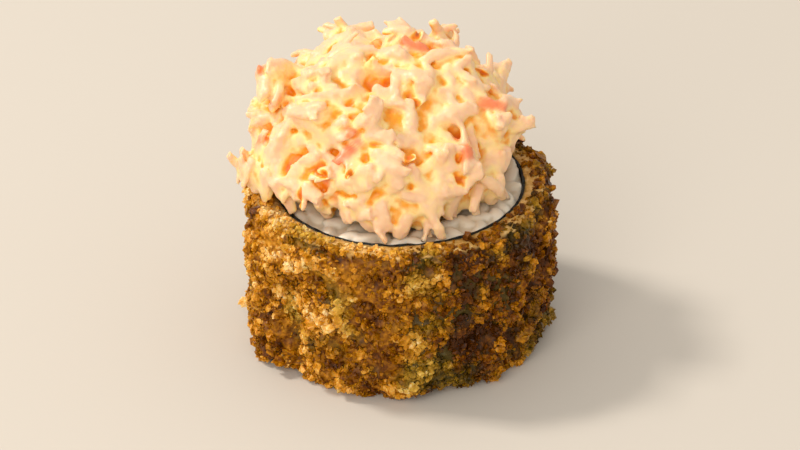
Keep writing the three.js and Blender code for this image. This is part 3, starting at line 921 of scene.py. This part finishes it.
spots, facings = spots_on(heap, HOLE_COUNT, draws, on_flank_and_top)
hole_axes = lying_axes(facings, draws.uniform(0, 2 * math.pi, HOLE_COUNT), np.zeros(HOLE_COUNT))
lengths = draws.uniform(1.0, 3.0, HOLE_COUNT) * MM
widths = draws.uniform(0.6, 1.1, HOLE_COUNT) * MM
points = points_of(heap)
shaken = points + SHAKEN_BY * np.column_stack([lumpy(points, SHAKEN_SIZE, offset) for offset in (1, 2, 3)])
in_hole = np.zeros(len(points))
for spot, axes, length, width in zip(spots, hole_axes, lengths, widths):
    along, across, above = ((shaken - spot) @ axes.T).T
    share = np.exp(-((along / length) ** 2 + (across / width) ** 2 + (above / HOLE_REACH) ** 2))
    points -= HOLE_DEPTH * share[:, None] * axes[2]
    in_hole = np.maximum(in_hole, share)

# %% [markdown]
# In places the dressing is so thick that the shreds hardly show, and all points there follow the skin
# as it would be if it were smoothed. So do the tips that would stand out like thorns. Fine unevenness
# comes next. Last, what reaches far out over the crust is drawn in, and nothing sinks into the rice.

# %% Thick and thin dressing
THICK_PLACES = 8.0  # in mm, how wide the thick places are
EVENING_ROUNDS = 14
THICK_EVENED, TIPS_EVENED = 0.7, 0.8  # how far each of them follows the smoothed skin, at most
HEAP_REACH = 22 * MM  # from the roll's axis
DRAWN_IN = 0.4  # the share that is lost of what reaches out further

move_points(heap, points)
to_even = smoothed(heap, points, EVENING_ROUNDS) - points
thick = smooth_step(lumpy(points, THICK_PLACES, 2), -0.3, 0.3) * (1 - in_hole)
standing_out = -(to_even * normals_of(heap)).sum(1) / MM
evened = np.maximum(THICK_EVENED * thick, TIPS_EVENED * smooth_step(standing_out, 0.4, 1.2))
points += to_even * smoothed(heap, evened, 3)[:, None]
move_points(heap, points)
points += normals_of(heap) * ((0.10 * lumpy(points, 1.1) + 0.06 * lumpy(points, 0.6, 5)) * MM)[:, None]
beyond = np.maximum(radius_of(points) - HEAP_REACH, 0)
set_radius(points, radius_of(points) - DRAWN_IN * beyond)
points[:, 2] = np.maximum(points[:, 2], CUT_HEIGHT + 0.2 * MM)
move_points(heap, points)
pick_only(heap)
bpy.ops.object.shade_smooth()
print("heap:", len(heap.data.polygons), "faces")

# %% [markdown]
# ### The dressing's colour, with painted shade in its hollows
#
# The heap is pale on its tops and a deeper orange in its hollows and holes, which is painted shade. How
# deep a point lies is measured by smoothing the skin many times over and seeing how far the smoothed skin
# stands above it. Each shred also keeps a tone of its own, and some keep the red skin of the crab stick,
# so every point of the skin looks up the nearest shred. At the foot none of the red shows.

# %% Depth and shreds as attributes
DEPTH_ROUNDS = 60
RED_SHARE = 0.05  # of the shreds
RED_FROM, RED_FULL = 3 * MM, 6 * MM  # above the foot

heap_points = points_of(heap)
smooth_skin = smoothed(heap, heap_points, DEPTH_ROUNDS)
outward = as_unit(smooth_skin - np.array([heap_middle.x, heap_middle.y, heap_foot]))
depth_mm = ((smooth_skin - heap_points) * outward).sum(1) / MM
# The hollows and holes are given a deeper orange: painted shade.
depth = np.maximum(0.8 * smooth_step(depth_mm, -0.6, 0.8), smooth_step(in_hole, 0.2, 0.95))
set_attribute(heap, "depth", depth)
print("depth in mm, low, middle, high:", np.percentile(depth_mm, [5, 50, 95]).round(2))

shred_faces = bvhtree.BVHTree.FromPolygons(shred_points.tolist(), shred_corners.tolist())
number, away = np.array([shred_faces.find_nearest(point)[2:] for point in heap_points]).T
number = number.astype(int)
close = 1 - smooth_step(away / MM, 0.25, 0.7)
shred_tone = draws.random(SLIM_COUNT + FRINGE_COUNT)
red_skinned = draws.random(SLIM_COUNT + FRINGE_COUNT) < RED_SHARE
off_foot = smooth_step(heap_points[:, 2], heap_foot + RED_FROM, heap_foot + RED_FULL)
set_attribute(heap, "tone", smoothed(heap, 0.5 + (shred_tone[owners[number]] - 0.5) * close, 3))
set_attribute(heap, "red_skin", smoothed(heap, red_skinned[owners[number]] * close * off_foot, 2))

# %% Crab finish
dressed_crab, tree, where = start_material("crab_in_creamy_dressing")
hollow_shade = add_node(tree, "ShaderNodeAttribute", attribute_name="depth")
tone = add_node(tree, "ShaderNodeAttribute", attribute_name="tone")
skin = add_node(tree, "ShaderNodeAttribute", attribute_name="red_skin")
blots = add_node(tree, "ShaderNodeTexNoise", {"Vector": where, "Scale": per_metre(2.5), "Detail": 3.0})
tone_shift = add_node(tree, "ShaderNodeMath", {
    0: tone.outputs["Fac"], 1: 0.3, 2: -0.15}, operation="MULTIPLY_ADD")
blot_shift = add_node(tree, "ShaderNodeMath", {
    0: blots.outputs["Fac"], 1: 0.6, 2: -0.3}, operation="MULTIPLY_ADD")
total = hollow_shade.outputs["Fac"]
for part in (tone_shift.outputs[0], blot_shift.outputs[0]):
    total = add_node(tree, "ShaderNodeMath", {0: total, 1: part}, operation="ADD").outputs[0]
# Pale at the low end; the deep orange stops stand for painted shade in the hollows.
cream = add_node(tree, "ShaderNodeValToRGB", {"Fac": total}, stops=[
    (0.1, linear("#F0C59A")), (0.4, linear("#FFDB96")),
    (0.65, linear("#F6A62C")), (1.0, linear("#DC6C00"))])
red_share = add_node(tree, "ShaderNodeMath", {0: skin.outputs["Fac"], 1: 0.7}, operation="MULTIPLY")
colour = add_node(tree, "ShaderNodeMix", {
    "Factor": red_share.outputs[0], 6: cream.outputs["Color"], 7: linear("#E65C10")}, data_type="RGBA")
threads = add_node(tree, "ShaderNodeTexNoise", {"Vector": where, "Scale": per_metre(0.5), "Detail": 3.0})
bump = add_node(tree, "ShaderNodeBump", {
    "Strength": 0.35, "Distance": 0.15 * MM, "Height": threads.outputs["Fac"]})
shader = add_node(tree, "ShaderNodeBsdfPrincipled", {
    "Base Color": colour.outputs[2], "Roughness": 0.34, "IOR": 1.44,
    "Subsurface Weight": 0.6, "Subsurface Radius": (1.0, 0.65, 0.25), "Subsurface Scale": 0.9 * MM,
    "Normal": bump.outputs["Normal"]})
end_material(tree, shader)
heap.data.materials.append(dressed_crab)
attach(heap, "root")
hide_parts("crab_topping")

# %% [markdown]
# ## Finishing off
#
# The dressed model has to stay the size of the solids. Last, the selection is cleared.

# %% Clearing the selection
start_afresh()
